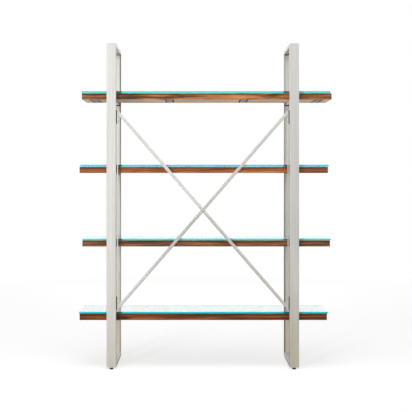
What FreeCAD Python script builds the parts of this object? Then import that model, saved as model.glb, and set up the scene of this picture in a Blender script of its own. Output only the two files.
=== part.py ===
import FreeCAD, Part
import math
import os

from FreeCAD import Vector

# A shelving unit with four wood boards, each under a thick sheet of glass.
# Lengths are in millimetres. X runs along the shelves, Y from front to rear and Z up.
# The origin lies on the floor, below the middle of the whole unit.

# Shelves: boards and glass share a length and a depth, and reach past the side frames
shelf_length = 1562.0
shelf_depth = 304.8
shelf_overhang = 181.0
lowest_board_rise = 288.3
top_board_drop = 346.0

# Side frames, each a closed loop of rectangular steel tube
loop_height = 2020.0
upright_gap = 25.4
tube_width = 60.0
tube_thickness = 25.4
tube_wall = 2.0
tube_corner = 3.2

# Crossbars, which run from front to rear upright under each board
crossbar_width = 38.1
crossbar_height = 12.7
crossbar_wall = 1.6
crossbar_corner = 2.4

# Boards, reclaimed planks that differ a little in length and lie a little to one side
board_thickness = 38.1
board_edge = 1.5
board_1_extra = -8.0
board_2_extra = -6.0
board_3_extra = -1.0
board_4_extra = 7.0
board_1_shift = 3.0
board_2_shift = 21.3
board_3_shift = 6.3
board_4_shift = 24.4

# Glass sheets on clear bumpers
glass_thickness = 12.7
glass_arris = 0.8
glass_1_shift = 4.0
glass_2_shift = 24.8
glass_3_shift = 9.6
glass_4_shift = 20.7
bumper_diameter = 12.0
bumper_height = 1.5
bumper_inset = 25.0
bumpers_per_row = 5

# Steel channels let into the underside of each board, legs up
batten_width = 38.1
batten_height = 12.7
batten_wall = 3.0
batten_front_margin = 10.0
batten_board_end = 75.5
batten_side_gap = 8.0
batten_leg_gap = 3.0
batten_end_gap = 1.5
battens_per_board = 4
batten_screw_diameter = 4.5
batten_screw_head = 9.0
batten_screw_sink = 2.6
batten_screw_length = 25.0
batten_screw_inset = 30.0
screws_per_batten = 3

# Screws that hold the boards to the crossbars from below
board_screw_diameter = 5.0
board_screw_head = 10.0
board_screw_head_height = 3.0
board_screw_bite = 22.0
board_screw_inset = 62.0

# Cross brace at the front: two side bars and two crossing diagonals
brace_bottom_gap = 16.4
brace_top_gap = 71.2
side_bar_thickness = 6.35
side_bar_depth = 20.0
diagonal_width = 19.05
diagonal_thickness = 5.0
spacer_thickness = 5.5
spacer_depth = 22.0

# Bolts that hold the brace through its spacers to nuts inside the uprights
bolt_diameter = 6.0
bolt_head_diameter = 10.5
bolt_head_height = 3.3
bolt_socket_diameter = 4.6
bolt_socket_depth = 2.0
bolt_tip = 1.0
bolt_diagonal_gap = 7.75
bolt_spacing = 26.0
bolt_spacer_margin = 16.0
nut_across_flats = 10.0
nut_height = 5.0

# Levelling feet: a swivel pad on a threaded stem
pad_height = 8.0
pad_diameter = 24.0
pad_edge = 1.0
stem_diameter = 10.0
stem_reach = 34.0
collar_height = 3.4
collar_across_flats = 17.0
pin_diameter = 8.0
pin_length = 5.0
insert_diameter = 16.0
insert_reach = 12.0

# Clearances
thread_clearance = 0.05
running_clearance = 0.3
hole_clearance = 0.4

# How far a cutting body reaches past what it cuts
overrun = 2.0

# Each shelf from the floor up: board length, board shift and glass shift
shelves = [
    (shelf_length + board_1_extra, board_1_shift, glass_1_shift),
    (shelf_length + board_2_extra, board_2_shift, glass_2_shift),
    (shelf_length + board_3_extra, board_3_shift, glass_3_shift),
    (shelf_length + board_4_extra, board_4_shift, glass_4_shift),
]

sides = {"left": -1, "right": 1}
faces = {"front": -1, "rear": 1}
along_x = Vector(1, 0, 0)
along_z = Vector(0, 0, 1)
right_angle = 90
hexagon_corners = 6

# Heights, from the floor up
collar_bottom = pad_height + running_clearance
collar_top = collar_bottom + collar_height
loop_bottom = collar_top + running_clearance
loop_top = loop_bottom + loop_height
lowest_underside = loop_bottom + lowest_board_rise
highest_underside = loop_top - top_board_drop
glass_lift = board_thickness + bumper_height
shelf_height = glass_lift + glass_thickness
brace_bottom = lowest_underside + shelf_height + brace_bottom_gap
brace_top = highest_underside - brace_top_gap

# The side frames stand where the widest reach of boards and glass is centred on the origin
left_reach = min(min(shift - length / 2, pane - shelf_length / 2) for length, shift, pane in shelves)
right_reach = max(max(shift + length / 2, pane + shelf_length / 2) for length, shift, pane in shelves)
frame_x = -(left_reach + right_reach) / 2
frame_width = shelf_length - 2 * shelf_overhang
frame_depth = shelf_depth + 2 * (upright_gap + tube_thickness)
tube_offset = (frame_width - tube_width) / 2
upright_offset = (frame_depth - tube_thickness) / 2
inner_face = frame_width / 2 - tube_width
side_bar_outer = inner_face - spacer_thickness
side_bar_inner = side_bar_outer - side_bar_thickness

# The diagonals run corner to corner, so their slope follows from the brace's height and span
brace_height = brace_top - brace_bottom
brace_span = 2 * side_bar_inner
diagonal_root = math.sqrt(brace_height ** 2 + brace_span ** 2 - diagonal_width ** 2)
diagonal_rise = brace_height * brace_span - diagonal_width * diagonal_root
diagonal_slope = diagonal_rise / (brace_span ** 2 - diagonal_width ** 2)
diagonal_end = diagonal_width * math.sqrt(1 + diagonal_slope ** 2)
first_bolt = diagonal_end + bolt_diagonal_gap + bolt_head_diameter / 2
spacer_height = first_bolt + bolt_spacing + bolt_spacer_margin


def block(x_range, y_range, z_range):
    """Plain block between pairs of limits."""
    size = [high - low for low, high in (x_range, y_range, z_range)]
    return Part.makeBox(*size, Vector(x_range[0], y_range[0], z_range[0]))


def about(middle, width):
    """Limits of a width centred on a place."""
    return (middle - width / 2, middle + width / 2)


def evenly(low, high, count):
    """Places from low to high at even steps."""
    step = (high - low) / (count - 1)
    return [low + step * index for index in range(count)]


def rounded_bar(width, thickness, length, corner):
    """Solid bar that stands on the origin, with its four long edges rounded."""
    bar = block(about(0, width), about(0, thickness), (0, length))
    long_edges = [edge for edge in bar.Edges if edge.BoundBox.ZLength > corner]
    return bar.makeFillet(corner, long_edges)


def hollow_bar(width, thickness, length, corner, wall):
    """Rectangular tube that stands on the origin, open at both ends."""
    outside = rounded_bar(width, thickness, length, corner)
    inside = rounded_bar(width - 2 * wall, thickness - 2 * wall, length + 2 * overrun, corner - wall)
    inside.translate(Vector(0, 0, -overrun))
    return outside.cut(inside)


def laid_back(bar, length, x, z):
    """Bar turned from upright to lie from front to rear, centred on the unit's depth."""
    bar.rotate(Vector(), along_x, right_angle)
    bar.translate(Vector(x, length / 2, z))
    return bar


def cylinder(diameter, length, start, direction=along_z):
    """Round bar from a start point along a direction."""
    return Part.makeCylinder(diameter / 2, length, start, direction)


def hexagon(across_flats, length, start, direction=along_z):
    """Six-sided bar from a start point along a direction."""
    radius = across_flats / 2 / math.cos(math.pi / hexagon_corners)
    turns = [2 * math.pi * index / hexagon_corners for index in range(hexagon_corners)]
    corners = [Vector(radius * math.cos(turn), radius * math.sin(turn), 0) for turn in turns]
    prism = Part.Face(Part.makePolygon(corners + corners[:1])).extrude(along_z * length)
    prism.Placement = FreeCAD.Placement(start, FreeCAD.Rotation(along_z, direction))
    return prism


def corner_wedge(x, face, end, from_rail):
    """Wedge past the mitre plane of one corner of a loop, cut from its rail or its upright."""
    height = loop_bottom if end < 0 else loop_top
    corner = Vector(x - tube_width / 2 - overrun, face * frame_depth / 2, height)
    inward_y = Vector(0, -face, 0)
    inward_z = Vector(0, 0, -end)
    outer = corner - (inward_y + inward_z) * overrun
    inner = corner + (inward_y + inward_z) * (tube_thickness + overrun)
    side = outer + (inward_z if from_rail else inward_y) * (tube_thickness + 2 * overrun)
    wedge = Part.Face(Part.makePolygon([outer, inner, side, outer]))
    return wedge.extrude(along_x * (tube_width + 2 * overrun))


# Side frames


def upright(side, face):
    """Upright tube with mitred ends; the front ones have holes for the brace bolts."""
    x = frame_x + side * tube_offset
    tube = hollow_bar(tube_width, tube_thickness, loop_height, tube_corner, tube_wall)
    tube.translate(Vector(x, face * upright_offset, loop_bottom))
    for end in (-1, 1):
        tube = tube.cut(corner_wedge(x, face, end, from_rail=False))
    if face < 0:
        for height in bolt_heights():
            start = Vector(frame_x + side * (inner_face - overrun), brace_y(), height)
            hole = bolt_diameter + 2 * hole_clearance
            tube = tube.cut(cylinder(hole, tube_wall + 2 * overrun, start, along_x * side))
    return tube


def rail(side, end):
    """Top or bottom tube with mitred ends; the bottom ones have holes for the foot inserts."""
    x = frame_x + side * tube_offset
    height = loop_bottom + tube_thickness / 2 if end < 0 else loop_top - tube_thickness / 2
    tube = hollow_bar(tube_width, tube_thickness, frame_depth, tube_corner, tube_wall)
    tube = laid_back(tube, frame_depth, x, height)
    for face in faces.values():
        tube = tube.cut(corner_wedge(x, face, end, from_rail=True))
        if end < 0:
            start = Vector(x, face * upright_offset, loop_bottom - overrun)
            hole = insert_diameter + 2 * thread_clearance
            tube = tube.cut(cylinder(hole, tube_wall + 2 * overrun, start))
    return tube


def crossbar(side, underside):
    """Flat tube between the uprights of one side frame, with its top against the board."""
    x = frame_x + side * tube_offset
    length = frame_depth - 2 * tube_thickness
    bar = hollow_bar(crossbar_width, crossbar_height, length, crossbar_corner, crossbar_wall)
    bar = laid_back(bar, length, x, underside - crossbar_height / 2)
    for place in board_screw_places():
        start = Vector(x, place, underside - crossbar_height - overrun)
        hole = board_screw_diameter + 2 * hole_clearance
        bar = bar.cut(cylinder(hole, crossbar_height + 2 * overrun, start))
    return bar


# Boards, their channels and the screws that hold them


def board_screw_places():
    """Y places of the screws in one crossbar."""
    return [face * (shelf_depth / 2 - board_screw_inset) for face in faces.values()]


def board_screw(x, y, underside):
    """Pan-head screw up through a crossbar and into a board."""
    start = Vector(x, y, underside - crossbar_height - board_screw_head_height)
    head = cylinder(board_screw_head, board_screw_head_height, start)
    shank_length = board_screw_head_height + crossbar_height + board_screw_bite
    return head.fuse(cylinder(board_screw_diameter, shank_length, start)).removeSplitter()


def batten_length():
    """Length of a channel, a little short of the board's depth."""
    return shelf_depth - 2 * batten_front_margin


def batten_places(length, shift):
    """X places of the channels in one board."""
    reach = length / 2 - batten_board_end
    middle = frame_x + shift
    return evenly(middle - reach, middle + reach, battens_per_board)


def batten_screw_places():
    """Y places of the screws in one channel."""
    reach = batten_length() / 2 - batten_screw_inset
    return evenly(-reach, reach, screws_per_batten)


def batten_screw(x, y, underside, gap=0):
    """Countersunk screw flush with the underside, grown all round by a gap to cut its hole."""
    start = Vector(x, y, underside)
    head_radius = batten_screw_head / 2 + gap
    shank_radius = batten_screw_diameter / 2 + gap
    head = Part.makeCone(head_radius, shank_radius, batten_screw_sink, start)
    return head.fuse(Part.makeCylinder(shank_radius, batten_screw_length + gap, start))


def batten(x, underside):
    """Steel channel with its web flush with the board's underside and its legs up."""
    y_range = about(0, batten_length())
    channel = block(about(x, batten_width), y_range, (underside, underside + batten_height))
    hollow = block(about(x, batten_width - 2 * batten_wall), about(0, batten_length() + 2 * overrun),
                   (underside + batten_wall, underside + batten_height + overrun))
    channel = channel.cut(hollow)
    for y in batten_screw_places():
        channel = channel.cut(batten_screw(x, y, underside, thread_clearance))
    return channel


def batten_groove(x, underside):
    """Recess for a channel's web with a deeper slot for each of its legs."""
    y_range = about(0, batten_length() + 2 * batten_end_gap)
    bottom = underside - overrun
    outer = batten_width / 2 + batten_side_gap
    inner = batten_width / 2 - batten_wall - batten_leg_gap
    slot_top = underside + batten_height + running_clearance
    groove = block((x - outer, x + outer), y_range, (bottom, underside + batten_wall))
    groove = groove.fuse(block((x - outer, x - inner), y_range, (bottom, slot_top)))
    return groove.fuse(block((x + inner, x + outer), y_range, (bottom, slot_top)))


def board(length, shift, underside):
    """Plank with softened edges, grooved below for its channels and drilled for its screws."""
    middle = frame_x + shift
    plank = block(about(middle, length), about(0, shelf_depth), (underside, underside + board_thickness))
    plank = plank.makeChamfer(board_edge, plank.Edges)
    cutters = []
    for x in batten_places(length, shift):
        cutters.append(batten_groove(x, underside))
        for y in batten_screw_places():
            cutters.append(batten_screw(x, y, underside, thread_clearance))
    for side in sides.values():
        for y in board_screw_places():
            start = Vector(frame_x + side * tube_offset, y, underside - overrun)
            hole = board_screw_diameter + 2 * thread_clearance
            cutters.append(cylinder(hole, overrun + board_screw_bite + thread_clearance, start))
    return plank.cut(cutters)


# Glass and bumpers


def glass_sheet(shift, underside):
    """Sheet of thick glass with its edges taken off."""
    bottom = underside + glass_lift
    z_range = (bottom, bottom + glass_thickness)
    sheet = block(about(frame_x + shift, shelf_length), about(0, shelf_depth), z_range)
    return sheet.makeChamfer(glass_arris, sheet.Edges)


def glass_bumpers(length, shift, pane, underside):
    """Clear discs between a board and its glass, clear of the ends of both."""
    left = frame_x + max(shift - length / 2, pane - shelf_length / 2) + bumper_inset
    right = frame_x + min(shift + length / 2, pane + shelf_length / 2) - bumper_inset
    reach = shelf_depth / 2 - bumper_inset
    bottom = underside + board_thickness
    places = [Vector(x, y, bottom) for x in evenly(left, right, bumpers_per_row) for y in (-reach, reach)]
    return Part.makeCompound([cylinder(bumper_diameter, bumper_height, place) for place in places])


# Cross brace


def brace_y():
    """Y place of the brace, in the middle of the front uprights."""
    return -upright_offset


def bolt_heights():
    """Heights of the bolts, two at each end of the brace."""
    low = brace_bottom + first_bolt
    high = brace_top - first_bolt
    return [low, low + bolt_spacing, high - bolt_spacing, high]


def bolt_holes(side, low, high, diameter):
    """Round cutters along X through every bolt place between two distances from the middle."""
    holes = []
    for height in bolt_heights():
        start = Vector(frame_x + side * (low - overrun), brace_y(), height)
        holes.append(cylinder(diameter, high - low + 2 * overrun, start, along_x * side))
    return holes


def side_bar(side):
    """Upright flat bar of the brace, drilled for its bolts."""
    x_range = sorted(frame_x + side * reach for reach in (side_bar_inner, side_bar_outer))
    bar = block(x_range, about(brace_y(), side_bar_depth), (brace_bottom, brace_top))
    return bar.cut(bolt_holes(side, side_bar_inner, side_bar_outer, bolt_diameter + 2 * hole_clearance))


def spacer(side, end):
    """Dark pad between a side bar's end and its upright."""
    x_range = sorted(frame_x + side * reach for reach in (side_bar_outer, inner_face))
    bottom = brace_bottom if end < 0 else brace_top - spacer_height
    z_range = (bottom, bottom + spacer_height)
    pad = block(x_range, about(brace_y(), spacer_depth), z_range)
    return pad.cut(bolt_holes(side, side_bar_outer, inner_face, bolt_diameter + 2 * hole_clearance))


def diagonal(rise):
    """Flat bar across the brace; the rising one lies in front of the falling one."""
    low_x = frame_x - rise * side_bar_inner
    high_x = frame_x + rise * side_bar_inner
    y = brace_y() - diagonal_thickness if rise > 0 else brace_y()
    corners = [
        Vector(low_x, y, brace_bottom),
        Vector(low_x, y, brace_bottom + diagonal_end),
        Vector(high_x, y, brace_top),
        Vector(high_x, y, brace_top - diagonal_end),
    ]
    outline = Part.Face(Part.makePolygon(corners + corners[:1]))
    return outline.extrude(Vector(0, diagonal_thickness, 0))


def brace_bolt(side, height):
    """Round-head bolt with a socket, from the side bar out into the nut in the upright."""
    outward = along_x * side
    face = Vector(frame_x + side * side_bar_inner, brace_y(), height)
    start = face - outward * bolt_head_height
    grip = inner_face - side_bar_inner + tube_wall + nut_height + bolt_tip
    bolt = cylinder(bolt_head_diameter, bolt_head_height, start, outward)
    bolt = bolt.fuse(cylinder(bolt_diameter, bolt_head_height + grip, start, outward))
    socket = hexagon(bolt_socket_diameter, bolt_socket_depth + overrun, start - outward * overrun, outward)
    return bolt.cut(socket).removeSplitter()


def brace_nut(side, height):
    """Nut welded inside a front upright."""
    outward = along_x * side
    start = Vector(frame_x + side * (inner_face + tube_wall), brace_y(), height)
    nut = hexagon(nut_across_flats, nut_height, start, outward)
    bore = bolt_diameter + 2 * thread_clearance
    return nut.cut(cylinder(bore, nut_height + 2 * overrun, start - outward * overrun, outward))


# Levelling feet


def foot_place(side, face):
    """Point on the floor below a corner of a side frame."""
    return Vector(frame_x + side * tube_offset, face * upright_offset, 0)


def foot_pad(side, face):
    """Round pad with a socket for the stem's pin."""
    place = foot_place(side, face)
    pad = cylinder(pad_diameter, pad_height, place)
    rims = [edge for edge in pad.Edges if edge.BoundBox.ZLength < pad_edge]
    pad = pad.makeChamfer(pad_edge, rims)
    socket_depth = pin_length + running_clearance
    socket = place + along_z * (pad_height - socket_depth)
    return pad.cut(cylinder(pin_diameter + 2 * thread_clearance, socket_depth + overrun, socket))


def foot_stem(side, face):
    """Threaded stem with a six-sided collar and a pin that turns in the pad."""
    place = foot_place(side, face)
    pin_bottom = place + along_z * (pad_height - pin_length)
    pin = cylinder(pin_diameter, pin_length + running_clearance, pin_bottom)
    collar = hexagon(collar_across_flats, collar_top - collar_bottom, place + along_z * collar_bottom)
    shank = cylinder(stem_diameter, running_clearance + stem_reach, place + along_z * collar_top)
    return pin.fuse([collar, shank]).removeSplitter()


def foot_insert(side, face):
    """Threaded bush welded in the bottom rail."""
    start = foot_place(side, face) + along_z * loop_bottom
    bush = cylinder(insert_diameter, insert_reach, start)
    bore = stem_diameter + 2 * thread_clearance
    return bush.cut(cylinder(bore, insert_reach + 2 * overrun, start - along_z * overrun))


def build():
    """Every piece by its name."""
    pieces = {}
    undersides = evenly(lowest_underside, highest_underside, len(shelves))
    for side_name, side in sides.items():
        for face_name, face in faces.items():
            pieces[side_name + "_" + face_name + "_upright"] = upright(side, face)
            corner_name = side_name + "_" + face_name + "_foot"
            pieces[corner_name + "_pad"] = foot_pad(side, face)
            pieces[corner_name + "_stem"] = foot_stem(side, face)
        for end_name, end in (("bottom", -1), ("top", 1)):
            pieces[side_name + "_" + end_name + "_rail"] = rail(side, end)
            pieces["brace_spacer_" + end_name + "_" + side_name] = spacer(side, end)
        pieces["brace_side_bar_" + side_name] = side_bar(side)
        for index, underside in enumerate(undersides):
            pieces[side_name + "_crossbar_" + str(index + 1)] = crossbar(side, underside)
    pieces["brace_diagonal_rising"] = diagonal(1)
    pieces["brace_diagonal_falling"] = diagonal(-1)

    batten_screws = []
    board_screws = []
    for index, underside in enumerate(undersides):
        number = str(index + 1)
        length, shift, pane = shelves[index]
        pieces["wood_board_" + number] = board(length, shift, underside)
        pieces["glass_top_" + number] = glass_sheet(pane, underside)
        pieces["glass_bumpers_" + number] = glass_bumpers(length, shift, pane, underside)
        places = batten_places(length, shift)
        pieces["board_battens_" + number] = Part.makeCompound([batten(x, underside) for x in places])
        batten_screws += [batten_screw(x, y, underside) for x in places for y in batten_screw_places()]
        for side in sides.values():
            x = frame_x + side * tube_offset
            board_screws += [board_screw(x, y, underside) for y in board_screw_places()]
    pieces["batten_screws"] = Part.makeCompound(batten_screws)
    pieces["board_screws"] = Part.makeCompound(board_screws)

    side_heights = [(side, height) for side in sides.values() for height in bolt_heights()]
    pieces["brace_bolts"] = Part.makeCompound([brace_bolt(side, height) for side, height in side_heights])
    pieces["brace_nuts"] = Part.makeCompound([brace_nut(side, height) for side, height in side_heights])
    corners = [(side, face) for side in sides.values() for face in faces.values()]
    pieces["foot_inserts"] = Part.makeCompound([foot_insert(side, face) for side, face in corners])
    return pieces


os.makedirs("parts", exist_ok=True)
for name, shape in build().items():
    shape.exportStep("parts/" + name + ".step")
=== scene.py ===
import bpy
import math
import random

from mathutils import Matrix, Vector, noise


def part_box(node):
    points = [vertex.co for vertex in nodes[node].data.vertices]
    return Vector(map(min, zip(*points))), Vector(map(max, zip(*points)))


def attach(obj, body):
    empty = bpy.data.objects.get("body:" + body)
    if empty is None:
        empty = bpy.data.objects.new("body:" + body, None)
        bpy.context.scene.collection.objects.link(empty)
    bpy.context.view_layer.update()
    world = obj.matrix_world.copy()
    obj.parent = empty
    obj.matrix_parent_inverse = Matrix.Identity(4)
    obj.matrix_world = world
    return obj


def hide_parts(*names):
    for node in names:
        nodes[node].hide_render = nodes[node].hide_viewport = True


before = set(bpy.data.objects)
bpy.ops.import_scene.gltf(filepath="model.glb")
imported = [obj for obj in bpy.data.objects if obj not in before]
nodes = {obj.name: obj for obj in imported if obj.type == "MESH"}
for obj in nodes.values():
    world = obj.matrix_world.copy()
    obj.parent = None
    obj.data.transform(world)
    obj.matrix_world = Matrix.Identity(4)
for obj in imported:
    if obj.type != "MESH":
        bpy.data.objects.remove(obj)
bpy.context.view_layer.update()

# Looks of the shelving unit around its CAD frame, in metres: X runs to the right, Y to the rear and Z up.
# The four boards are replaced with worn planks. Every other piece is its CAD solid in a procedural material.

MM = 0.001
SIDES = ("left", "right")
FACES = ("front", "rear")
ENDS = ("bottom", "top")
SHELVES = (1, 2, 3, 4)
WHITE = (1.0, 1.0, 1.0, 1.0)
# The middle between the side frames along X, and how far from it their inner sides stand
FRAME_MIDDLE = -15.95 * MM
INNER_FACE = 540.0 * MM


# Node helpers


def toned(colour, gain):
    """A colour times one gain, or times a gain for each of its parts."""
    gains = gain if isinstance(gain, tuple) else (gain,) * 3
    return tuple(part * factor for part, factor in zip(colour, gains))


class Nodes:
    """The nodes of one tree."""

    def __init__(self, tree):
        self.tree = tree
        tree.nodes.clear()

    def add(self, kind, values=None, **settings):
        """A node with its settings, and its sockets set to a value or joined to another socket."""
        node = self.tree.nodes.new(kind)
        for key, value in settings.items():
            setattr(node, key, value)
        for key, value in (values or {}).items():
            if isinstance(value, bpy.types.NodeSocket):
                self.tree.links.new(value, node.inputs[key])
            else:
                node.inputs[key].default_value = value
        return node

    def math(self, operation, *values):
        """Result of a sum on numbers or sockets."""
        return self.add("ShaderNodeMath", dict(enumerate(values)), operation=operation).outputs[0]

    def seen_by(self, *rays):
        """1 for the named kinds of ray and 0 for the others."""
        paths = self.add("ShaderNodeLightPath").outputs
        result = paths[rays[0]]
        for ray in rays[1:]:
            result = self.math("MAXIMUM", result, paths[ray])
        return result

    def mixed(self, factor, first, second):
        """Two shaders mixed."""
        return self.add("ShaderNodeMixShader", {0: factor, 1: first, 2: second}).outputs[0]


class Surface(Nodes):
    """The nodes of a new material."""

    def __init__(self, name):
        self.material = bpy.data.materials.new(name)
        self.material.use_nodes = True
        super().__init__(self.material.node_tree)
        self.output = self.add("ShaderNodeOutputMaterial")
        self.place = self.add("ShaderNodeTexCoord").outputs["Object"]

    def scaled(self, scale, offset=(0, 0, 0), turn=(0, 0, 0), source=None):
        """The object's own coordinates, or another source, moved, turned and scaled."""
        values = {"Vector": source or self.place, "Location": offset, "Rotation": turn, "Scale": scale}
        return self.add("ShaderNodeMapping", values).outputs[0]

    def noise(self, scale, detail, rough, offset=(0, 0, 0), source=None):
        """Noise from 0 to 1, with its own scale on each axis."""
        values = {"Vector": self.scaled(scale, offset, source=source), "Scale": 1.0, "Detail": detail,
                  "Roughness": rough}
        return self.add("ShaderNodeTexNoise", values).outputs["Fac"]

    def cells(self, scale, offset=(0, 0, 0), source=None):
        """Distance to the nearest of some scattered points."""
        values = {"Vector": self.scaled(scale, offset, source=source), "Scale": 1.0}
        return self.add("ShaderNodeTexVoronoi", values).outputs["Distance"]

    def vector(self, operation, first, second):
        """Sum of two vectors, or their difference."""
        return self.add("ShaderNodeVectorMath", {0: first, 1: second}, operation=operation).outputs[0]

    def split(self, vector):
        """The X, Y and Z of a vector."""
        return self.add("ShaderNodeSeparateXYZ", {0: vector}).outputs

    def normal(self):
        """The X, Y and Z of the way that the surface faces."""
        return self.split(self.add("ShaderNodeNewGeometry").outputs["Normal"])

    def times(self, first, second):
        """Product of two numbers or sockets."""
        return self.math("MULTIPLY", first, second)

    def gap(self, value, middle):
        """How far a value lies from a middle."""
        return self.math("ABSOLUTE", self.math("SUBTRACT", value, middle))

    def span(self, value, low, high, new_low=0.0, new_high=1.0, smooth=False):
        """A value brought from one range to another and kept inside it."""
        values = {"Value": value, "From Min": low, "From Max": high, "To Min": new_low, "To Max": new_high}
        style = "SMOOTHSTEP" if smooth else "LINEAR"
        return self.add("ShaderNodeMapRange", values, interpolation_type=style).outputs[0]

    def blend(self, factor, first, second, mode="MIX"):
        """Two colours mixed."""
        values = {0: factor}
        for index, value in ((6, first), (7, second)):
            values[index] = (*value, 1.0) if isinstance(value, tuple) else value
        return self.add("ShaderNodeMix", values, data_type="RGBA", blend_type=mode).outputs[2]

    def edge(self, low=0.02, high=0.22):
        """1 on rounded edges and 0 on faces that look along an axis."""
        x, y, z = (self.math("ABSOLUTE", part) for part in self.normal())
        largest = self.math("MAXIMUM", self.math("MAXIMUM", x, y), z)
        return self.span(self.math("SUBTRACT", 1.0, largest), low, high, smooth=True)

    def bump(self, height, distance, strength, below=None):
        """Bump whose height runs from 0 to 1 over a distance, on top of the bump below it."""
        values = {"Height": height, "Distance": distance, "Strength": strength}
        if below is not None:
            values["Normal"] = below
        return self.add("ShaderNodeBump", values).outputs[0]

    def shown(self, shader):
        """The material, with a shader joined to its output."""
        self.tree.links.new(shader, self.output.inputs["Surface"])
        return self.material

    def finish(self, values):
        """The material, with a Principled shader joined to its output."""
        return self.shown(self.add("ShaderNodeBsdfPrincipled", values).outputs[0])


# Steel

GRAIN = {"x": (0, 1, 1), "y": (1, 0, 1), "z": (1, 1, 0)}
BRIGHTEST_STEEL = 0.93
SMUDGE_GAIN = (1, 0.98, 0.94)
# Colour of the bands of painted shade at the joints, and the width over which they fade
BAND_SHADE = (0.035, 0.029, 0.024)
BAND_SHADE_FADE = 2.0 * MM
# How dark the painted shade on a slanted bar's rim is
RIM_SHADE_GAIN = 0.50
# Heights between which the share of the painted inner shade changes, and between which the painted shade of the foot
# comes in
INNER_SHADE_LOW, INNER_SHADE_HIGH = 0.4, 1.8
LOW_SHADE_START, LOW_SHADE_FULL = 0.65, 0.15
# Distances from the frames' inner sides between which the strip of painted shade comes in
STRIP_START, STRIP_FULL = 10.0 * MM, 4.0 * MM
# Distances from a slanted bar's middle: over which its halves blend, and from which to which its gain changes
CROSSING = 0.10
GAIN_START, BAR_END = 0.05, 0.75


def stretched(axis, along, across):
    """Scale on each axis for a texture that is stretched along one of them."""
    return tuple(across if side else along for side in GRAIN[axis])


def painted_inner_shade(s, tone, place, colour, share, line=0.0):
    """Steel with a painted shade, standing in for shade and dark reflections, on the sides that face the middle of the
    unit.

    The share is that of the painted shade low down and high up. The line is how far a strip of the front next to such a
    side takes it too.
    """
    x, _, z = s.split(place)
    depth = s.span(z, INNER_SHADE_LOW, INNER_SHADE_HIGH, *share)
    inward = s.times(s.normal()[0], s.math("SIGN", x))
    tone = s.blend(s.times(depth, s.span(inward, -0.5, -0.95, smooth=True)), tone, colour)
    strip = s.span(s.gap(x, FRAME_MIDDLE), INNER_FACE + STRIP_START, INNER_FACE + STRIP_FULL, 0.0, line, smooth=True)
    return s.blend(s.times(depth, strip), tone, colour)


def painted_shade_bands(s, tone, place, smudge, rows, axis, way):
    """Steel with bands of painted shade, each at a height, with half its width and its strength.

    They lie on the faces that look along the axis: one way, or both if the way is 0.
    """
    up = s.split(place)[2]
    facing = s.normal()[axis]
    facing = s.times(facing, way) if way else s.math("ABSOLUTE", facing)
    ragged = s.span(smudge, 0.3, 0.7, -MM, MM)
    for height, half, strength in rows:
        away = s.math("ADD", s.gap(up, height), ragged)
        shade_mask = s.times(s.span(away, half + BAND_SHADE_FADE, half, 0.0, strength), s.span(facing, 0.5, 0.9))
        tone = s.blend(shade_mask, tone, BAND_SHADE)
    return tone


def painted_rim_shade(s, tone, colour, height, middle, before, after):
    """A slanted bar with a painted shade on its rim below a height across it, with one strength before its middle and
    one after.
    """
    along, _, across = s.split(s.place)
    strength = s.span(along, middle - CROSSING, middle + CROSSING, before, after)
    return s.blend(s.times(strength, s.span(across, height + MM, height - MM)), tone, toned(colour, RIM_SHADE_GAIN))


def lighted(s, tone, middle, way, near, far, lower):
    """A slanted bar with painted light and shade along its length.

    The gain of its upper half runs from near, at its middle, to far, at its end. That of its lower half runs from lower
    to 1. The way is 1 if the upper half lies on the right and -1 if it lies on the left.
    """
    away = s.times(s.math("SUBTRACT", s.split(s.place)[0], middle), way)
    upper_gain = s.span(away, GAIN_START, BAR_END, near, far)
    lower_gain = s.span(away, -BAR_END, -CROSSING, 1.0, lower)
    gain = s.blend(s.span(away, -CROSSING, CROSSING), lower_gain, upper_gain)
    return s.blend(1.0, tone, gain, "MULTIPLY")


def brushed(name, colour, axis, rough=0.33, streak=0.08, grain=0.5, metal=1.0, offset=(0, 0, 0), turn=0.0,
            inner_shade=None, shade_bands=None, rim=None, light=None, foot=None):
    """Satin steel, brushed along one axis, with faint smudges and brighter rubbed edges.

    Streak is the contrast of the brushing, grain its depth and turn its slant. The four arguments after turn hold the
    values for the functions above, which paint shade and light onto the steel, and foot is a gain that paints a shade
    and a warm reflection onto the lowest part.
    """
    s = Surface(name)
    place = s.place
    if turn:
        s.place = s.scaled((1, 1, 1), turn=(0, turn, 0))
    fine = s.noise(stretched(axis, 14.0, 2600.0), 2.0, 0.6, offset)
    broad = s.noise(stretched(axis, 2.2, 190.0), 3.0, 0.6, offset)
    smudge = s.noise((5.0, 5.0, 3.0), 4.0, 0.6, offset)
    edge = s.edge()
    dark = toned(colour, 1 - streak)
    pale = tuple(min(part, BRIGHTEST_STEEL) for part in toned(colour, 1 + streak))
    tone = s.blend(s.span(broad, 0.32, 0.68), dark, pale)
    tone = s.blend(s.span(fine, 0.25, 0.75, 0.0, 0.35), tone, dark)
    tone = s.blend(s.span(smudge, 0.5, 0.75, 0.0, 0.25), tone, toned(dark, SMUDGE_GAIN))
    tone = s.blend(s.times(edge, 0.5), tone, pale)
    if inner_shade:
        tone = painted_inner_shade(s, tone, place, **inner_shade)
    if shade_bands:
        tone = painted_shade_bands(s, tone, place, smudge, **shade_bands)
    if rim:
        tone = painted_rim_shade(s, tone, colour, **rim)
    if light:
        tone = lighted(s, tone, **light)
    # Painted shade and warm painted reflection towards the floor
    if foot:
        tone = s.blend(s.span(s.split(place)[2], LOW_SHADE_START, LOW_SHADE_FULL, smooth=True), tone, foot, "MULTIPLY")
    roughness = s.span(fine, 0.2, 0.8, rough - 0.05, rough + 0.07)
    roughness = s.math("ADD", roughness, s.span(smudge, 0.4, 0.75, 0.0, 0.07))
    roughness = s.math("SUBTRACT", roughness, s.times(edge, 0.06))
    return s.finish({"Base Color": tone, "Metallic": metal, "Roughness": roughness,
                     "Normal": s.bump(fine, 0.05 * MM, grain)})


# Hardware

WORN_ZINC = (0.80, 0.80, 0.78)


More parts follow.
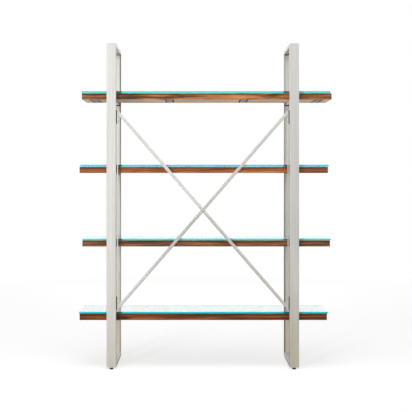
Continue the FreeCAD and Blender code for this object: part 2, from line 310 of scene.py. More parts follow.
def zinc(name, colour):
    """Zinc plating with a fine spangle and slightly worn edges."""
    s = Surface(name)
    spangle = s.cells((900, 900, 900))
    cloud = s.noise((120, 120, 120), 3.0, 0.6)
    tone = s.blend(s.span(cloud, 0.3, 0.7), toned(colour, 0.82), colour)
    tone = s.blend(s.span(spangle, 0.2, 0.9, 0.0, 0.25), tone, toned(colour, 0.7))
    tone = s.blend(s.times(s.edge(0.05, 0.3), 0.3), tone, WORN_ZINC)
    roughness = s.span(cloud, 0.3, 0.7, 0.32, 0.48)
    return s.finish({"Base Color": tone, "Metallic": 1.0, "Roughness": roughness,
                     "Normal": s.bump(spangle, 0.03 * MM, 0.6)})


def mill_metal(name, colour):
    """Mill-finish metal of the channels, with faint rolling lines and a few duller patches."""
    s = Surface(name)
    lines = s.noise((1700, 22, 1700), 2.0, 0.6)
    patches = s.noise((30, 12, 30), 4.0, 0.6)
    tone = s.blend(s.span(lines, 0.3, 0.7), toned(colour, 0.88), colour)
    tone = s.blend(s.span(patches, 0.52, 0.7, 0.0, 0.45), tone, toned(colour, 0.68))
    roughness = s.span(patches, 0.3, 0.7, 0.36, 0.54)
    return s.finish({"Base Color": tone, "Metallic": 1.0, "Roughness": roughness,
                     "Normal": s.bump(lines, 0.06 * MM, 0.5)})


def moulded(name, colour, rough=0.55, shine=0.4):
    """Black moulded plastic or rubber with a fine leathery grain and dusty edges."""
    s = Surface(name)
    grain = s.cells((1500, 1500, 1500))
    dust = s.noise((160, 160, 160), 4.0, 0.6)
    tone = s.blend(s.span(dust, 0.45, 0.75, 0.0, 0.5), colour, tuple(part * 1.6 + 0.012 for part in colour))
    tone = s.blend(s.times(s.edge(0.05, 0.3), 0.4), tone, tuple(part * 2.2 + 0.015 for part in colour))
    roughness = s.span(dust, 0.3, 0.7, rough - 0.08, rough + 0.12)
    return s.finish({"Base Color": tone, "Roughness": roughness, "Specular IOR Level": shine,
                     "Normal": s.bump(grain, 0.05 * MM, 0.5)})


def soft_clear(name):
    """Clear soft plastic of the bumpers."""
    s = Surface(name)
    cloud = s.noise((300, 300, 300), 3.0, 0.6)
    tone = s.blend(cloud, (0.88, 0.90, 0.90), (0.97, 0.98, 0.98))
    return s.finish({"Base Color": tone, "Roughness": s.span(cloud, 0.3, 0.7, 0.18, 0.34), "IOR": 1.46,
                     "Transmission Weight": 0.85, "Normal": s.bump(cloud, 0.05 * MM, 0.3)})


# Glass

EDGE_CLEARNESS = 0.10
HAZE = (0.975, 0.99, 0.99)
# Beside the uprights the ground edges carry a painted shade, between these distances from the middle.
BESIDE_IN = (INNER_FACE - 40 * MM, INNER_FACE - 24 * MM)
BESIDE_OUT = (INNER_FACE + 60 * MM, INNER_FACE + 50 * MM)
EDGE_SHADOW = (0.0, 0.06, 0.07)
# A painted shade low on a sheet's edge and a painted highlight along its top
LOWER_EDGE_PAINTED_SHADE = (0.05, 0.09, 0.08)
UPPER_EDGE_PAINTED_HIGHLIGHT = (0.97, 1.0, 1.0)


def glass(name, edge_colour, tint, density, lower_line=None, upper_line=None):
    """Thick float glass: clear through its faces, with ground edges in a bright blue-green that is painted light, the
    light that the glass carries from behind.

    Tint and density are those of its body. Below the lower line the edges carry a painted shade, and above the upper
    line a painted highlight.
    """
    s = Surface(name)
    absorption = s.add("ShaderNodeVolumeAbsorption", {"Color": (*tint, 1.0), "Density": density})
    s.tree.links.new(absorption.outputs[0], s.output.inputs["Volume"])
    haze = s.noise((7, 7, 7), 4.0, 0.6)
    ground = s.noise((5, 5, 60), 3.0, 0.5)
    edge = s.span(s.math("ABSOLUTE", s.normal()[2]), 0.85, 0.6, smooth=True)
    x, _, z = s.split(s.place)
    clear = s.blend(s.span(haze, 0.45, 0.8, 0.0, 0.6), WHITE[:3], HAZE)
    rim = s.blend(s.span(ground, 0.3, 0.7), toned(edge_colour, 0.90), edge_colour)
    away = s.gap(x, FRAME_MIDDLE)
    beside = s.times(s.span(away, *BESIDE_IN, smooth=True), s.span(away, *BESIDE_OUT, smooth=True))
    rim = s.blend(s.times(beside, 0.85), rim, EDGE_SHADOW)
    if lower_line:
        lower = s.span(z, lower_line + 1.5 * MM, lower_line - 1.5 * MM, smooth=True)
        rim = s.blend(s.times(lower, 0.85), rim, LOWER_EDGE_PAINTED_SHADE)
    if upper_line:
        upper = s.span(z, upper_line - MM, upper_line + MM, smooth=True)
        rim = s.blend(s.times(upper, 0.9), rim, UPPER_EDGE_PAINTED_HIGHLIGHT)
    faces = s.span(haze, 0.5, 0.8, 0.0, 0.03)
    roughness = s.math("ADD", s.times(edge, 0.22), s.times(faces, s.math("SUBTRACT", 1.0, edge)))
    grain = s.noise((500, 500, 500), 2.0, 0.5)
    return s.finish({"Base Color": s.blend(edge, clear, rim), "Roughness": roughness, "IOR": 1.52,
                     "Specular IOR Level": s.span(edge, 0.0, 1.0, 0.5, 0.15),
                     "Transmission Weight": s.span(edge, 0.0, 1.0, 1.0, EDGE_CLEARNESS),
                     "Normal": s.bump(s.times(grain, edge), 0.004 * MM, 0.1)})


# Wood

RING_TINT = (0.03, 0.014, 0.007)
FIBRE_TINT = (0.02, 0.009, 0.004)
RAW_STREAK_GAIN = (0.52, 0.42, 0.36)
GRIME = (0.085, 0.060, 0.036)
SOOT_GAIN = (0.42, 0.50, 0.62)
NAIL_STAIN = (0.030, 0.022, 0.018)
NAIL_HOLE = (0.008, 0.006, 0.005)
KEPT_BELOW = 0.30
# These lie below the top of a board.
GROOVE_FADE = (37.0 * MM, 36.0 * MM)
UPPER_FADE = (15.0 * MM, 5.0 * MM)


def wandering(s, offset):
    """Coordinates along a plank, slightly turned and wavy, so that its grain isn't straight."""
    base = s.scaled((1, 1, 1), offset, (0.0, 0.012, 0.016))
    values = {"Vector": s.scaled((1.6, 7, 7), source=base), "Scale": 1.0, "Detail": 2.0}
    wander = s.add("ShaderNodeTexNoise", values).outputs["Color"]
    shift = s.vector("SUBTRACT", wander, (0.5, 0.5, 0.5))
    shift = s.add("ShaderNodeVectorMath", {0: shift, "Scale": 0.035}, operation="SCALE").outputs[0]
    return s.vector("ADD", base, shift)


def stained(s, x, patch, streak, stains):
    """Strength of the grime: each stain has a middle and a reach along the plank and a strength."""
    grimy = 0.0
    for middle, reach, strength in stains:
        ragged = s.math("ADD", s.gap(x, middle), s.span(patch, 0.3, 0.7, -0.3 * reach, 0.3 * reach))
        inside = s.span(ragged, reach, 0.3 * reach, 0.0, strength, smooth=True)
        grimy = s.math("MAXIMUM", grimy, s.times(inside, s.span(streak, 0.62, 0.36, 0.5, 1.0)))
    return grimy


def wood(name, top, dark, light, raw_and_sheen, offset, stains, shades):
    """Reclaimed plank: rings, fibres, streaks, knots, nail holes and saw marks, with a pale underside of raw wood and
    painted sheen.

    Each shade has a middle and a reach along the plank and a gain. The top is the height of the plank's upper face.
    """
    s = Surface(name)
    place = wandering(s, offset)
    x, _, height = s.split(s.place)
    facing_x, _, facing_z = s.normal()
    level = s.math("ABSOLUTE", facing_z)
    below = s.span(facing_z, -0.6, -0.9, smooth=True)

    knots = s.cells((2.4, 6.0, 9.0), source=place)
    knot = s.span(knots, 0.20, 0.08, smooth=True)
    swell = s.span(knots, 0.45, 0.10, 0.0, 0.012, smooth=True)
    swell = s.add("ShaderNodeCombineXYZ", {0: 0.0, 1: swell, 2: swell}).outputs[0]
    around_knots = s.vector("ADD", place, swell)
    ring = s.add("ShaderNodeTexWave",
                 {"Vector": s.scaled((0.05, 1, 1), source=around_knots), "Scale": 46.0, "Distortion": 5.0,
                  "Detail": 3.0, "Detail Scale": 0.6, "Detail Roughness": 0.6},
                 wave_type="RINGS", rings_direction="X").outputs["Fac"]
    streak = s.noise((2.6, 60, 60), 5.0, 0.62, source=place)
    patch = s.noise((4.5, 9, 16), 3.0, 0.55, (5.1, 0.3, 2.2), source=place)
    fibre = s.noise((16, 1300, 1300), 3.0, 0.65, source=place)
    pores = s.noise((60, 2600, 2600), 1.0, 0.5, source=place)
    soot = s.noise((3.0, 40, 55), 5.0, 0.65, (7.3, 2.9, 5.1), source=place)

    # planed faces and the underside, raw wood with a painted sheen
    tone = s.blend(s.span(streak, 0.41, 0.58), dark, light)
    tone = s.blend(s.span(patch, 0.46, 0.70, 0.0, 0.62), tone, dark)
    for middle, reach, gain in shades:
        inside = s.span(s.gap(x, middle), reach, 0.5 * reach, smooth=True)
        tone = s.blend(inside, tone, (gain, gain, gain), "MULTIPLY")
    tone = s.blend(s.span(ring, 0.55, 1.0, 0.0, 0.40), tone, s.blend(0.5, tone, RING_TINT))
    tone = s.blend(s.span(fibre, 0.50, 0.80, 0.0, 0.35), tone, s.blend(0.5, tone, FIBRE_TINT))
    tone = s.blend(s.span(pores, 0.62, 0.80, 0.0, 0.4), tone, toned(dark, 0.4))
    bare_and_sheen = s.blend(s.span(streak, 0.50, 0.60), raw_and_sheen, toned(raw_and_sheen, RAW_STREAK_GAIN))
    bare_and_sheen = s.blend(s.span(ring, 0.60, 1.0, 0.0, 0.25), bare_and_sheen, toned(raw_and_sheen, 0.4))
    tone = s.blend(below, tone, bare_and_sheen)

    # grime, soot, the shaded grooves, knots and nail holes
    kept = s.span(below, 0.0, 1.0, 1.0, KEPT_BELOW)
    grime = s.blend(s.span(fibre, 0.4, 0.7), GRIME, toned(GRIME, 0.4))
    tone = s.blend(s.times(stained(s, x, patch, streak, stains), kept), tone, grime)
    marks = s.span(soot, 0.55, 0.70, 0.0, 0.75)
    tone = s.blend(s.times(marks, kept), tone, toned(dark, SOOT_GAIN))
    groove = s.times(below, s.span(height, top - GROOVE_FADE[0], top - GROOVE_FADE[1]))
    tone = s.blend(groove, tone, toned(dark, 0.2))
    tone = s.blend(s.times(knot, 0.8), tone, toned(dark, 0.30))
    nails = s.cells((15, 15, 15), offset)
    hole = s.span(nails, 0.040, 0.026, smooth=True)
    tone = s.blend(s.times(s.span(nails, 0.11, 0.03, smooth=True), 0.6), tone, NAIL_STAIN)
    tone = s.blend(hole, tone, NAIL_HOLE)

    # sawn ends, the shaded strip below the glass and handled edges
    end = s.span(s.math("ABSOLUTE", facing_x), 0.6, 0.9, smooth=True)
    tone = s.blend(s.times(end, 0.45), tone, toned(dark, 0.42))
    upper = s.span(height, top - UPPER_FADE[0], top - UPPER_FADE[1], 0.0, 0.7, smooth=True)
    tone = s.blend(s.times(upper, s.span(level, 0.9, 0.5, smooth=True)), tone, toned(dark, 0.35))
    tone = s.blend(s.times(s.edge(0.05, 0.28), 0.25), tone, toned(dark, 0.42))

    saw = s.add("ShaderNodeTexWave",
                {"Vector": s.scaled((1, 0.18, 0.5), offset, (0, 0, 0.2)), "Scale": 58.0, "Distortion": 2.2,
                 "Detail": 3.0, "Detail Scale": 2.0},
                wave_type="BANDS", bands_direction="X").outputs["Fac"]
    saw = s.times(saw, s.span(s.noise((3, 7, 7), 3.0, 0.6, offset), 0.46, 0.62, smooth=True))
    roughness = s.span(fibre, 0.3, 0.7, 0.46, 0.62)
    roughness = s.math("ADD", roughness, s.span(soot, 0.5, 0.7, 0.0, 0.14))
    bump = s.bump(ring, 0.25 * MM, 0.5)
    bump = s.bump(fibre, 0.22 * MM, 0.6, bump)
    bump = s.bump(saw, 0.18 * MM, 0.5, bump)
    bump = s.bump(s.math("SUBTRACT", 1.0, hole), 1.2 * MM, 1.0, bump)
    return s.finish({"Base Color": tone, "Roughness": roughness, "Specular IOR Level": 0.2, "Normal": bump})


# Camera: level, at the photograph's place, with a shift for the crop of the picture

CAMERA_PLACE = (-0.05215, -6.3882, 1.216)
CAMERA_LENS = 86.79
CAMERA_SENSOR = 36.0
CAMERA_SHIFT = (0.0218, -0.07706)
CAMERA_CLIP = (0.1, 100.0)

scene = bpy.context.scene
camera_data = bpy.data.cameras.new("camera")
camera_data.lens = CAMERA_LENS
camera_data.sensor_width = CAMERA_SENSOR
camera_data.shift_x, camera_data.shift_y = CAMERA_SHIFT
camera_data.clip_start, camera_data.clip_end = CAMERA_CLIP
camera = bpy.data.objects.new("camera", camera_data)
camera.location = CAMERA_PLACE
camera.rotation_euler = (math.radians(90), 0, 0)
scene.collection.objects.link(camera)
scene.camera = camera
scene.view_settings.view_transform = "Standard"


# Stage: a world that is white to look at but lights little, a pale floor and soft lamps

WORLD_LIGHT = 0.29
FLOOR_GLOW = 0.69
FLOOR_SHADE = (0.44, 0.44, 0.44, 1.0)
FLOOR_BOUNCE = (0.88, 0.85, 0.77, 1.0)
FLOOR_REACH = 60.0
FADE_START, FADE_END = 1.6, 6.0
# Of each lamp: its place, the point it looks at, its width and height, its power, and whether it only shows in shiny
# faces. The others light the unit and show nowhere.
LAMPS = {
    "key_lamp": ((-2.7, -5.0, 1.8), (0, 0, 1.3), (2.4, 3.6), 42.0, True),
    "hard_lamp": ((-2.7, -5.8, 1.3), (0, 0, 1.1), (0.5, 0.5), 150.0, False),
    "fill_lamp": ((3.6, -3.4, 2.4), (0, 0, 1.0), (3.4, 3.4), 35.0, False),
    "top_lamp": ((-0.4, -1.4, 4.8), (0, 0, 1.0), (2.6, 2.6), 90.0, False),
    "back_lamp": ((0.0, 4.5, 1.8), (0, 0, 1.0), (3.0, 3.0), 38.0, False),
    "sheen_lamp": ((0.0, 4.5, 1.7), (0, 0, 1.1), (3.6, 3.2), 1.6, True),
}

world = bpy.data.worlds.new("studio")
scene.world = world
world.use_nodes = True
sky = Nodes(world.node_tree)
soft = sky.add("ShaderNodeBackground", {"Color": WHITE, "Strength": WORLD_LIGHT}).outputs[0]
white = sky.add("ShaderNodeBackground", {"Color": WHITE, "Strength": 1.0}).outputs[0]
seen = sky.seen_by("Is Camera Ray", "Is Glossy Ray", "Is Transmission Ray")
sky.add("ShaderNodeOutputWorld", {"Surface": sky.mixed(seen, soft, white)})

floor_mesh = bpy.data.meshes.new("studio_floor")
corners = [(x * FLOOR_REACH, y * FLOOR_REACH, 0.0) for x, y in ((-1, -1), (1, -1), (1, 1), (-1, 1))]
floor_mesh.from_pydata(corners, [], [(0, 1, 2, 3)])
floor = bpy.data.objects.new("studio_floor", floor_mesh)
scene.collection.objects.link(floor)
# The floor takes shadows near the unit and fades to plain white, and bounces a warmer light.
paper = Surface("studio_paper")
bounce = paper.add("ShaderNodeBsdfDiffuse", {"Color": FLOOR_BOUNCE}).outputs[0]
shade = paper.add("ShaderNodeBsdfDiffuse", {"Color": FLOOR_SHADE}).outputs[0]
glow = paper.add("ShaderNodeEmission", {"Color": WHITE, "Strength": FLOOR_GLOW}).outputs[0]
far = paper.add("ShaderNodeEmission", {"Color": WHITE, "Strength": 1.0}).outputs[0]
near = paper.add("ShaderNodeAddShader", {0: shade, 1: glow}).outputs[0]
away = paper.add("ShaderNodeVectorMath", {0: paper.place}, operation="LENGTH").outputs["Value"]
faded = paper.mixed(paper.span(away, FADE_START, FADE_END, smooth=True), near, far)
seen = paper.seen_by("Is Camera Ray", "Is Transmission Ray")
floor_mesh.materials.append(paper.shown(paper.mixed(seen, bounce, faded)))

for name, (place, aim, size, power, mirrored) in LAMPS.items():
    data = bpy.data.lights.new(name, "AREA")
    data.shape = "RECTANGLE"
    data.size, data.size_y = size
    data.energy = power
    lamp = bpy.data.objects.new(name, data)
    lamp.location = place
    lamp.rotation_mode = "QUATERNION"
    lamp.rotation_quaternion = (Vector(aim) - Vector(place)).to_track_quat("-Z", "Y")
    lamp.visible_camera = False
    lamp.visible_glossy = mirrored
    lamp.visible_diffuse = not mirrored
    scene.collection.objects.link(lamp)


# Planks

# The channels under a board: how far the outer two stand from its ends, and for their grooves half the width inside and
# outside the legs, half the length, and the depth over the web and over the legs
BATTENS_PER_BOARD = 4
BATTEN_BOARD_END = 75.5 * MM
GROOVE_INNER = 13.05 * MM
GROOVE_OUTER = 27.05 * MM
GROOVE_REACH = 143.9 * MM
WEB_DEPTH = 3.0 * MM
LEG_DEPTH = 13.0 * MM
# The mesh: about how far apart its rows are, the extra rows near its ends in millimetres, half the gap between the two
# rows of a groove's wall, and the angle from which an edge is sharp
STEP_X, STEP_Y, STEP_Z = 6.5 * MM, 11 * MM, 5.5 * MM
INSETS_X = (0.6, 1.4, 2.6, 4.2)
INSETS_Y = (0.7, 1.5, 2.5, 4.0, 6.5)
INSETS_Z = (0.7, 1.5, 2.5, 4.0)
HAIR = 0.01 * MM
FLAT_ANGLE = 38.0
AT_END = 1e-6
SAME_ROW = 1e-9
# The wear: cracks from the ends and inside the top, half a crack's width, the worn rim of the ends, how far the rows
# of the top and of the sides wander, the margin of the sides that doesn't, and how far an end's inner points keep
# below the top
END_CRACKS, TOP_CRACKS = 5, 3
CRACK_HALF = 0.45 * MM
END_RIM = 3 * MM
TOP_SWING = 3.0 * MM
SIDE_RISE = 1.2 * MM
SIDE_MARGIN = 4 * MM
TOP_WEAR = 0.75 * MM
INNER_GAP = 0.4 * MM
# The long arrises by their side along Y and Z. The lower two come first and are more worn.
ARRISES = ((-1, -1), (1, -1), (-1, 1), (1, 1))
LOWER_ARRISES = 2
LOWER_CHIPS, UPPER_CHIPS = 10, 3
PLANK_SEED = 11


def ease(value, low, high):
    """Smooth step from 0 at low to 1 at high."""
    t = min(max((value - low) / (high - low), 0.0), 1.0)
    return t * t * (3 - 2 * t)


def rough_field(x, y, z, seed):
    """Noise from 0 to 1 at a place."""
    return 0.5 + 0.5 * noise.noise(Vector((x + seed, y + 2.3 * seed, z - 1.7 * seed)))


def spaced(low, high, step, insets, cracks=()):
    """Places from low to high about a step apart, with more near both ends and three across each crack."""
    count = max(int(round((high - low) / step)), 1)
    places = {low + (high - low) * index / count for index in range(count + 1)}
    for inset in insets:
        places |= {low + inset * MM, high - inset * MM}
    for place, _, _, _ in cracks:
        places |= {place - CRACK_HALF, place, place + CRACK_HALF}
    return places


def flaws(rng, half_x, half_y, thick):
    """Cracks and chips of a plank.

    A crack has its place across its face, its start and end along X and its depth. A chip has its arris, its place
    along X, half its width and its depth.
    """
    cracks = {"top": [], "front": [], "rear": []}
    for _ in range(END_CRACKS):
        end = rng.choice((-1, 1))
        length = rng.uniform(0.07, 0.32)
        place = rng.uniform(-0.75, 0.75) * half_y
        cracks["top"].append((place, end * half_x, end * (half_x - length), rng.uniform(1.4, 2.6) * MM))
    for _ in range(TOP_CRACKS):
        start = rng.uniform(-0.85, 0.6) * half_x
        place = rng.uniform(-0.75, 0.75) * half_y
        cracks["top"].append((place, start, start + rng.uniform(0.10, 0.30), rng.uniform(0.8, 1.6) * MM))
    for face in FACES * 2:
        start = rng.uniform(-0.95, 0.5) * half_x
        place = rng.uniform(0.3, 0.75) * thick
        cracks[face].append((place, start, start + rng.uniform(0.15, 0.5), rng.uniform(0.8, 1.6) * MM))
    chips = []
    for arris in range(len(ARRISES)):
        for _ in range(LOWER_CHIPS if arris < LOWER_ARRISES else UPPER_CHIPS):
            chips.append((arris, rng.uniform(-1, 1) * half_x, rng.uniform(8, 30) * MM, rng.uniform(0.4, 2.2) * MM))
    return cracks, chips


def new_object(name, points, faces):
    """Smooth mesh object that rides on the frame."""
    mesh = bpy.data.meshes.new(name)
    mesh.from_pydata(points, [], faces)
    mesh.update()
    for face in mesh.polygons:
        face.use_smooth = True
    mesh.set_sharp_from_angle(angle=math.radians(FLAT_ANGLE))
    item = bpy.data.objects.new(name, mesh)
    scene.collection.objects.link(item)
    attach(item, "frame")
    return item


def plank(number, node, seed):
    """Worn plank with softened arrises, chips, cracks and saw-cut ends, grooved below for its channels."""
    low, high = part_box(node)
    middle = (low.x + high.x) / 2
    half_x = (high.x - low.x) / 2
    half_y = (high.y - low.y) / 2
    thick = high.z - low.z
    reach = half_x - BATTEN_BOARD_END
    battens = [-reach + 2 * reach * index / (BATTENS_PER_BOARD - 1) for index in range(BATTENS_PER_BOARD)]
    cracks, chips = flaws(random.Random(seed), half_x, half_y, thick)

    xs = spaced(-half_x, half_x, STEP_X, INSETS_X)
    for batten in battens:
        for edge in (-GROOVE_OUTER, -GROOVE_INNER, GROOVE_INNER, GROOVE_OUTER):
            xs |= {batten + edge - HAIR, batten + edge + HAIR}
    ys = spaced(-half_y, half_y, STEP_Y, INSETS_Y, cracks["top"])
    for edge in (-GROOVE_REACH, GROOVE_REACH):
        ys |= {edge - HAIR, edge + HAIR}
    zs = spaced(0.0, thick, STEP_Z, INSETS_Z, cracks["front"] + cracks["rear"])
    xs, ys, zs = sorted(xs), sorted(ys), sorted(zs)
    last_y, last_z = len(ys) - 1, len(zs) - 1

    def groove(x, y):
        """Depth of the channels' grooves at a place of the underside."""
        if abs(y) > GROOVE_REACH:
            return 0.0
        for batten in battens:
            away = abs(x - batten)
            if away < GROOVE_INNER:
                return WEB_DEPTH
            if away < GROOVE_OUTER:
                return LEG_DEPTH
        return 0.0

    def crack_depth(face, place, x):
        """Depth of a crack whose middle row runs through a place."""
        for middle_row, start, end, depth in cracks[face]:
            first, last = min(start, end), max(start, end)
            if abs(middle_row - place) < SAME_ROW and first <= x <= last:
                fade = 0.25 * (last - first)
                near_start = 1.0 if first <= -half_x + MM else ease(x, first, first + fade)
                near_end = 1.0 if last >= half_x - MM else 1 - ease(x, last - fade, last)
                wobble = 0.6 + 0.4 * rough_field(x * 40, place * 10, 0, seed)
                return depth * near_start * near_end * wobble
        return 0.0

    def arris_radius(x, arris):
        """Radius of one long arris, with its chips."""
        worn = 1.0 if arris < LOWER_ARRISES else 0.5
        radius = 0.3 * MM + 0.6 * worn * MM * rough_field(x * 9, arris * 5.3, 0, seed) ** 2
        radius += 0.4 * worn * MM * rough_field(x * 60, arris * 3.1, 4, seed) ** 2
        for index, place, width, depth in chips:
            away = abs(x - place) / width
            if index == arris and away < 1:
                radius += depth * (1 - away * away) ** 2
        return radius

    def shaped(x, y, z, radii):
        """A place of the plain block moved onto the worn plank."""
        for (side_y, side_z), radius in zip(ARRISES, radii):
            centre_y = side_y * (half_y - radius)
            centre_z = thick - radius if side_z > 0 else radius
            out_y = (y - centre_y) * side_y
            out_z = (z - centre_z) * side_z
            length = math.hypot(out_y, out_z)
            if out_y > 0 and out_z > 0 and length > radius:
                y = centre_y + side_y * out_y * (radius / length)
                z = centre_z + side_z * out_z * (radius / length)
        if half_x - abs(x) < AT_END:
            wear = 0.5 * MM * rough_field(y * 18, z * 40, x, seed) + 0.2 * MM * rough_field(y * 160, z * 320, x, seed)
            rim_y = ease(abs(y), half_y - END_RIM, half_y)
            rim_z = ease(abs(z - thick / 2), thick / 2 - END_RIM, thick / 2)
            wear += 0.5 * MM * max(rim_y, rim_z)
            x = math.copysign(half_x - wear, x)
        return x, y, z

    def vertex(x, i, j, radii, inside=False):
        """The point of the plank at row i across and row j up, or inside an end."""
        y, z = ys[i], zs[j]
        px, py, pz = shaped(x, y, z, radii)
        if inside:
            highest = thick - TOP_WEAR - crack_depth("top", y, x) - INNER_GAP
            return middle + px, py, low.z + min(pz, highest)
        if j == 0:
            pz += groove(x, y) or 0.2 * MM * rough_field(x * 25, y * 25, 2, seed)
        elif j == last_z:
            pz -= (0.30 * MM * rough_field(x * 10, y * 22, 9, seed) + 0.15 * MM * rough_field(x * 70, y * 70, 9, seed)
                   + crack_depth("top", y, x))
            swing = TOP_SWING * noise.noise(Vector((x * 4 + seed, y * 6, 1.5)))
            py += swing * (1 - ease(abs(y), half_y * 0.7, half_y * 0.9))
        if i in (0, last_y):
            inward = (0.5 * MM * rough_field(x * 9, z * 45, 5 * i, seed)
                      + 0.2 * MM * rough_field(x * 60, z * 150, 5 * i, seed)
                      + crack_depth("rear" if i else "front", z, x))
            py += -inward if i else inward
            if SIDE_MARGIN < z < thick - SIDE_MARGIN:
                pz += SIDE_RISE * noise.noise(Vector((x * 4 - seed, z * 20, 7.5)))
        return middle + px, py, low.z + pz

    border = [(i, 0) for i in range(last_y + 1)]
    border += [(last_y, j) for j in range(1, last_z + 1)]
    border += [(i, last_z) for i in range(last_y - 1, -1, -1)]
    border += [(0, j) for j in range(last_z - 1, 0, -1)]
    around = len(border)
    points = []
    faces = []
    for x in xs:
        radii = [arris_radius(x, arris) for arris in range(len(ARRISES))]
        points += [vertex(x, i, j, radii) for i, j in border]
    for ring in range(len(xs) - 1):
        first, second = ring * around, (ring + 1) * around
        for index in range(around):
            after = (index + 1) % around
            faces.append((first + index, second + index, second + after, first + after))
    for ring, x, flip in ((0, xs[0], True), (len(xs) - 1, xs[-1], False)):
        radii = [arris_radius(x, arris) for arris in range(len(ARRISES))]
        grid = {place: ring * around + index for index, place in enumerate(border)}
        for i in range(1, last_y):
            for j in range(1, last_z):
                grid[(i, j)] = len(points)
                points.append(vertex(x, i, j, radii, inside=True))
        for i in range(last_y):
            for j in range(last_z):
                quad = (grid[(i, j)], grid[(i + 1, j)], grid[(i + 1, j + 1)], grid[(i, j + 1)])
                faces.append(quad[::-1] if flip else quad)
    item = new_object("plank_%d" % number, points, faces)
    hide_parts(node)
    return item


# Materials of the unit

STEEL = (0.705, 0.702, 0.682)
# The right front upright is a lighter copy of the same steel: painted light
RIGHT_FRONT_PAINTED_LIGHT_STEEL = toned(STEEL, 1.08)
# The rear uprights are a lighter, warmer copy of the steel: a painted reflection of the warm wood
REAR_PAINTED_REFLECTION_STEEL = (0.80, 0.78, 0.74)
# The crossbars are a near-white, mostly non-metal copy of the steel: a painted reflection of the bright floor
CROSSBAR_PAINTED_SHEEN = (0.93, 0.92, 0.90)
BRACE = (0.70, 0.695, 0.675)
# Painted shade on the sides of the uprights that face the middle, and on a strip of the rear uprights' fronts
FRONT_INNER_SHADE = {"colour": toned(STEEL, 0.6), "share": (0.85, 0.85)}
REAR_INNER_SHADE = (0.10, 0.095, 0.085)
REAR_INNER_SHADE_SHARE = {"left": (0.35, 0.88), "right": (0.85, 0.50)}
# Gains of the painted shade and warm painted reflection low on the right front and the rear uprights
RIGHT_FRONT_LOW_SHADE = (0.80, 0.78, 0.72)
REAR_LOW_SHADE = (0.97, 0.93, 0.84)
# Bands of painted shade on the rear uprights, below the top crossbar and the top rail, and on the crossbars, at their
# tops
SHADE_BELOW_JOINTS = (
    (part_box("left_crossbar_4")[0].z - 2 * MM, 4 * MM, 0.97),
    (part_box("left_top_rail")[0].z - 2 * MM, 3 * MM, 0.6),
)
SHADE_UNDER_BOARDS = tuple((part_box("left_crossbar_%d" % number)[1].z, 3.5 * MM, 0.95) for number in SHELVES)
# The slanted bars: how far below its middle line a bar's painted rim shade starts, and its width
RIM_DEPTH = 5.5 * MM
BAR_WIDTH = 19.05 * MM
SLOPE_ROUNDS = 8

# Each sheet's edge colour is painted light carried through the glass from behind
GLASS = {
    1: {"edge_colour": (0.003, 0.70, 0.79), "tint": (0.0, 0.937, 0.958), "density": 4.5},
    2: {"edge_colour": (0.030, 0.83, 0.83), "tint": (0.0, 0.93, 0.94), "density": 7.0},
    3: {"edge_colour": (0.035, 0.78, 0.88), "tint": (0.0, 0.926, 0.969), "density": 5.8},
    4: {"edge_colour": (0.080, 0.74, 0.70), "tint": (0.0, 0.88, 0.862), "density": 5.5},
}
# A painted shade low on the first sheet's edge and a painted highlight along the top of the second's
GLASS[1]["lower_line"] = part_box("glass_top_1")[0].z + 4.5 * MM
GLASS[2]["upper_line"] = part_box("glass_top_2")[1].z - 3.0 * MM
# Each board's underside colour is raw wood with a painted sheen, the top board's most
WOOD = {
    1: {"dark": (0.100, 0.027, 0.007), "light": (0.34, 0.100, 0.029), "raw_and_sheen": (0.24, 0.16, 0.11),
        "offset": (0.31, 0.07, -0.020),
        "stains": ((0.07, 0.16, 0.3), (0.74, 0.12, 0.4)),
        "shades": ((-0.25, 0.45, 1.25),)},
    2: {"dark": (0.120, 0.050, 0.024), "light": (0.42, 0.175, 0.075), "raw_and_sheen": (0.28, 0.20, 0.14),
        "offset": (1.73, 0.11, -0.935),
        "stains": ((-0.42, 0.34, 0.55), (-0.72, 0.1, 0.3)),
        "shades": ((-0.70, 0.14, 1.20),)},
    3: {"dark": (0.220, 0.071, 0.024), "light": (0.53, 0.172, 0.058), "raw_and_sheen": (0.55, 0.37, 0.25),
        "offset": (2.91, 0.03, -1.150),
        "stains": ((0.66, 0.14, 0.5),),
        "shades": ((0.36, 0.24, 1.40), (-0.70, 0.14, 0.75))},
    4: {"dark": (0.110, 0.042, 0.017), "light": (0.56, 0.210, 0.072), "raw_and_sheen": (1.0, 0.83, 0.67),
        "offset": (4.17, 0.09, -1.790),
        "stains": ((-0.50, 0.14, 1.0), (-0.62, 0.22, 0.4)),
        "shades": ((0.36, 0.24, 1.45), (0.70, 0.14, 0.80), (-0.32, 0.12, 1.45), (0.80, 0.020, 0.35))},
}


def bar_slope(low, high):
    """Angle of a slanted flat bar whose ends are cut upright, from the corners of its box."""
    cut = BAR_WIDTH
    for _ in range(SLOPE_ROUNDS):
        slope = math.atan2(high.z - low.z - cut, high.x - low.x)
        cut = BAR_WIDTH / math.cos(slope)
    return slope


def bar_steel(name, way, offset, rim, light):
    """Steel of the diagonal that rises to the right (way 1) or falls (way -1)."""
    low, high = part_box("brace_diagonal_rising")
    cross = (low + high) / 2
    slope = bar_slope(low, high)
    middle = cross.x * math.cos(slope) + way * cross.z * math.sin(slope)
    height = cross.z * math.cos(slope) - way * cross.x * math.sin(slope) - RIM_DEPTH
    return brushed(name, BRACE, "x", rough=0.36, streak=0.03, grain=0.15, offset=offset, turn=way * slope,
                   rim={"height": height, "middle": middle, **rim}, light={"middle": middle, "way": way, **light})


def dress(name, material):
    """Give a CAD node a better material."""
    slots = nodes[name].data.materials
    slots.clear()
    slots.append(material)


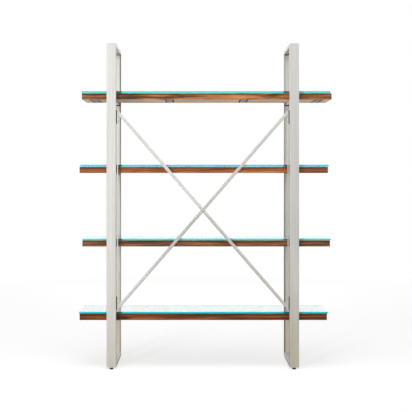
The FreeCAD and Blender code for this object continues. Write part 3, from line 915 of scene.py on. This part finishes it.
uprights = {
    ("left", "front"): brushed("steel_brushed_front_left", STEEL, "z", inner_shade=FRONT_INNER_SHADE),
    ("right", "front"): brushed("steel_brushed_front_right", RIGHT_FRONT_PAINTED_LIGHT_STEEL, "z", inner_shade=FRONT_INNER_SHADE,
                                foot=RIGHT_FRONT_LOW_SHADE),
}
for side in SIDES:
    uprights[(side, "rear")] = brushed(
        "steel_brushed_rear_%s" % side, REAR_PAINTED_REFLECTION_STEEL, "z", offset=(2.0, 5.0, 1.0), foot=REAR_LOW_SHADE,
        inner_shade={"colour": REAR_INNER_SHADE, "share": REAR_INNER_SHADE_SHARE[side], "line": 1.0},
        shade_bands={"rows": SHADE_BELOW_JOINTS, "axis": 1, "way": -1})
steel_back = brushed("steel_brushed_back", STEEL, "y", offset=(3.0, 1.0, 2.0))
# Crossbars: near-white and mostly non-metal, a painted reflection of the bright floor
steel_crossbar = brushed("steel_brushed_crossbar", CROSSBAR_PAINTED_SHEEN, "y", rough=0.42, metal=0.2, offset=(6.0, 2.0, 4.0),
                         shade_bands={"rows": SHADE_UNDER_BOARDS, "axis": 0, "way": 0})
brace_up = brushed("brace_brushed_up", BRACE, "z", rough=0.30, offset=(5.0, 2.0, 7.0))
spacer_black = moulded("spacer_black", (0.008, 0.007, 0.007), shine=0.12)
foot_black = moulded("foot_black", (0.012, 0.012, 0.012), rough=0.5)
zinc_plate = zinc("zinc_plate", (0.56, 0.56, 0.55))
stem_zinc = zinc("stem_zinc", (0.42, 0.42, 0.41))
channel_metal = mill_metal("channel_metal", (0.44, 0.44, 0.45))
bumper_clear = soft_clear("bumper_clear")

for side in SIDES:
    for face in FACES:
        dress("%s_%s_upright" % (side, face), uprights[(side, face)])
        dress("%s_%s_foot_pad" % (side, face), foot_black)
        dress("%s_%s_foot_stem" % (side, face), stem_zinc)
    for end in ENDS:
        dress("%s_%s_rail" % (side, end), steel_back)
        dress("brace_spacer_%s_%s" % (end, side), spacer_black)
    for number in SHELVES:
        dress("%s_crossbar_%d" % (side, number), steel_crossbar)
    dress("brace_side_bar_%s" % side, brace_up)
# The diagonals carry a painted shade on their rims and painted light and shade along their length
dress("brace_diagonal_rising", bar_steel(
    "brace_brushed_rising", 1, (1.0, 6.0, 3.0), {"before": 0.75, "after": 0.5},
    {"near": 1.04, "far": 1.12, "lower": 0.88}))
dress("brace_diagonal_falling", bar_steel(
    "brace_brushed_falling", -1, (4.0, 3.0, 9.0), {"before": 0.15, "after": 0.75},
    {"near": 1.17, "far": 0.98, "lower": 0.98}))
for name in ("batten_screws", "board_screws", "brace_bolts", "brace_nuts", "foot_inserts"):
    dress(name, zinc_plate)
for number in SHELVES:
    dress("glass_top_%d" % number, glass("glass_%d" % number, **GLASS[number]))
    nodes["glass_top_%d" % number].visible_shadow = False
    dress("glass_bumpers_%d" % number, bumper_clear)
    dress("board_battens_%d" % number, channel_metal)
    node = "wood_board_%d" % number
    board = plank(number, node, PLANK_SEED * number)
    board.data.materials.append(wood("wood_%d" % number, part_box(node)[1].z, **WOOD[number]))
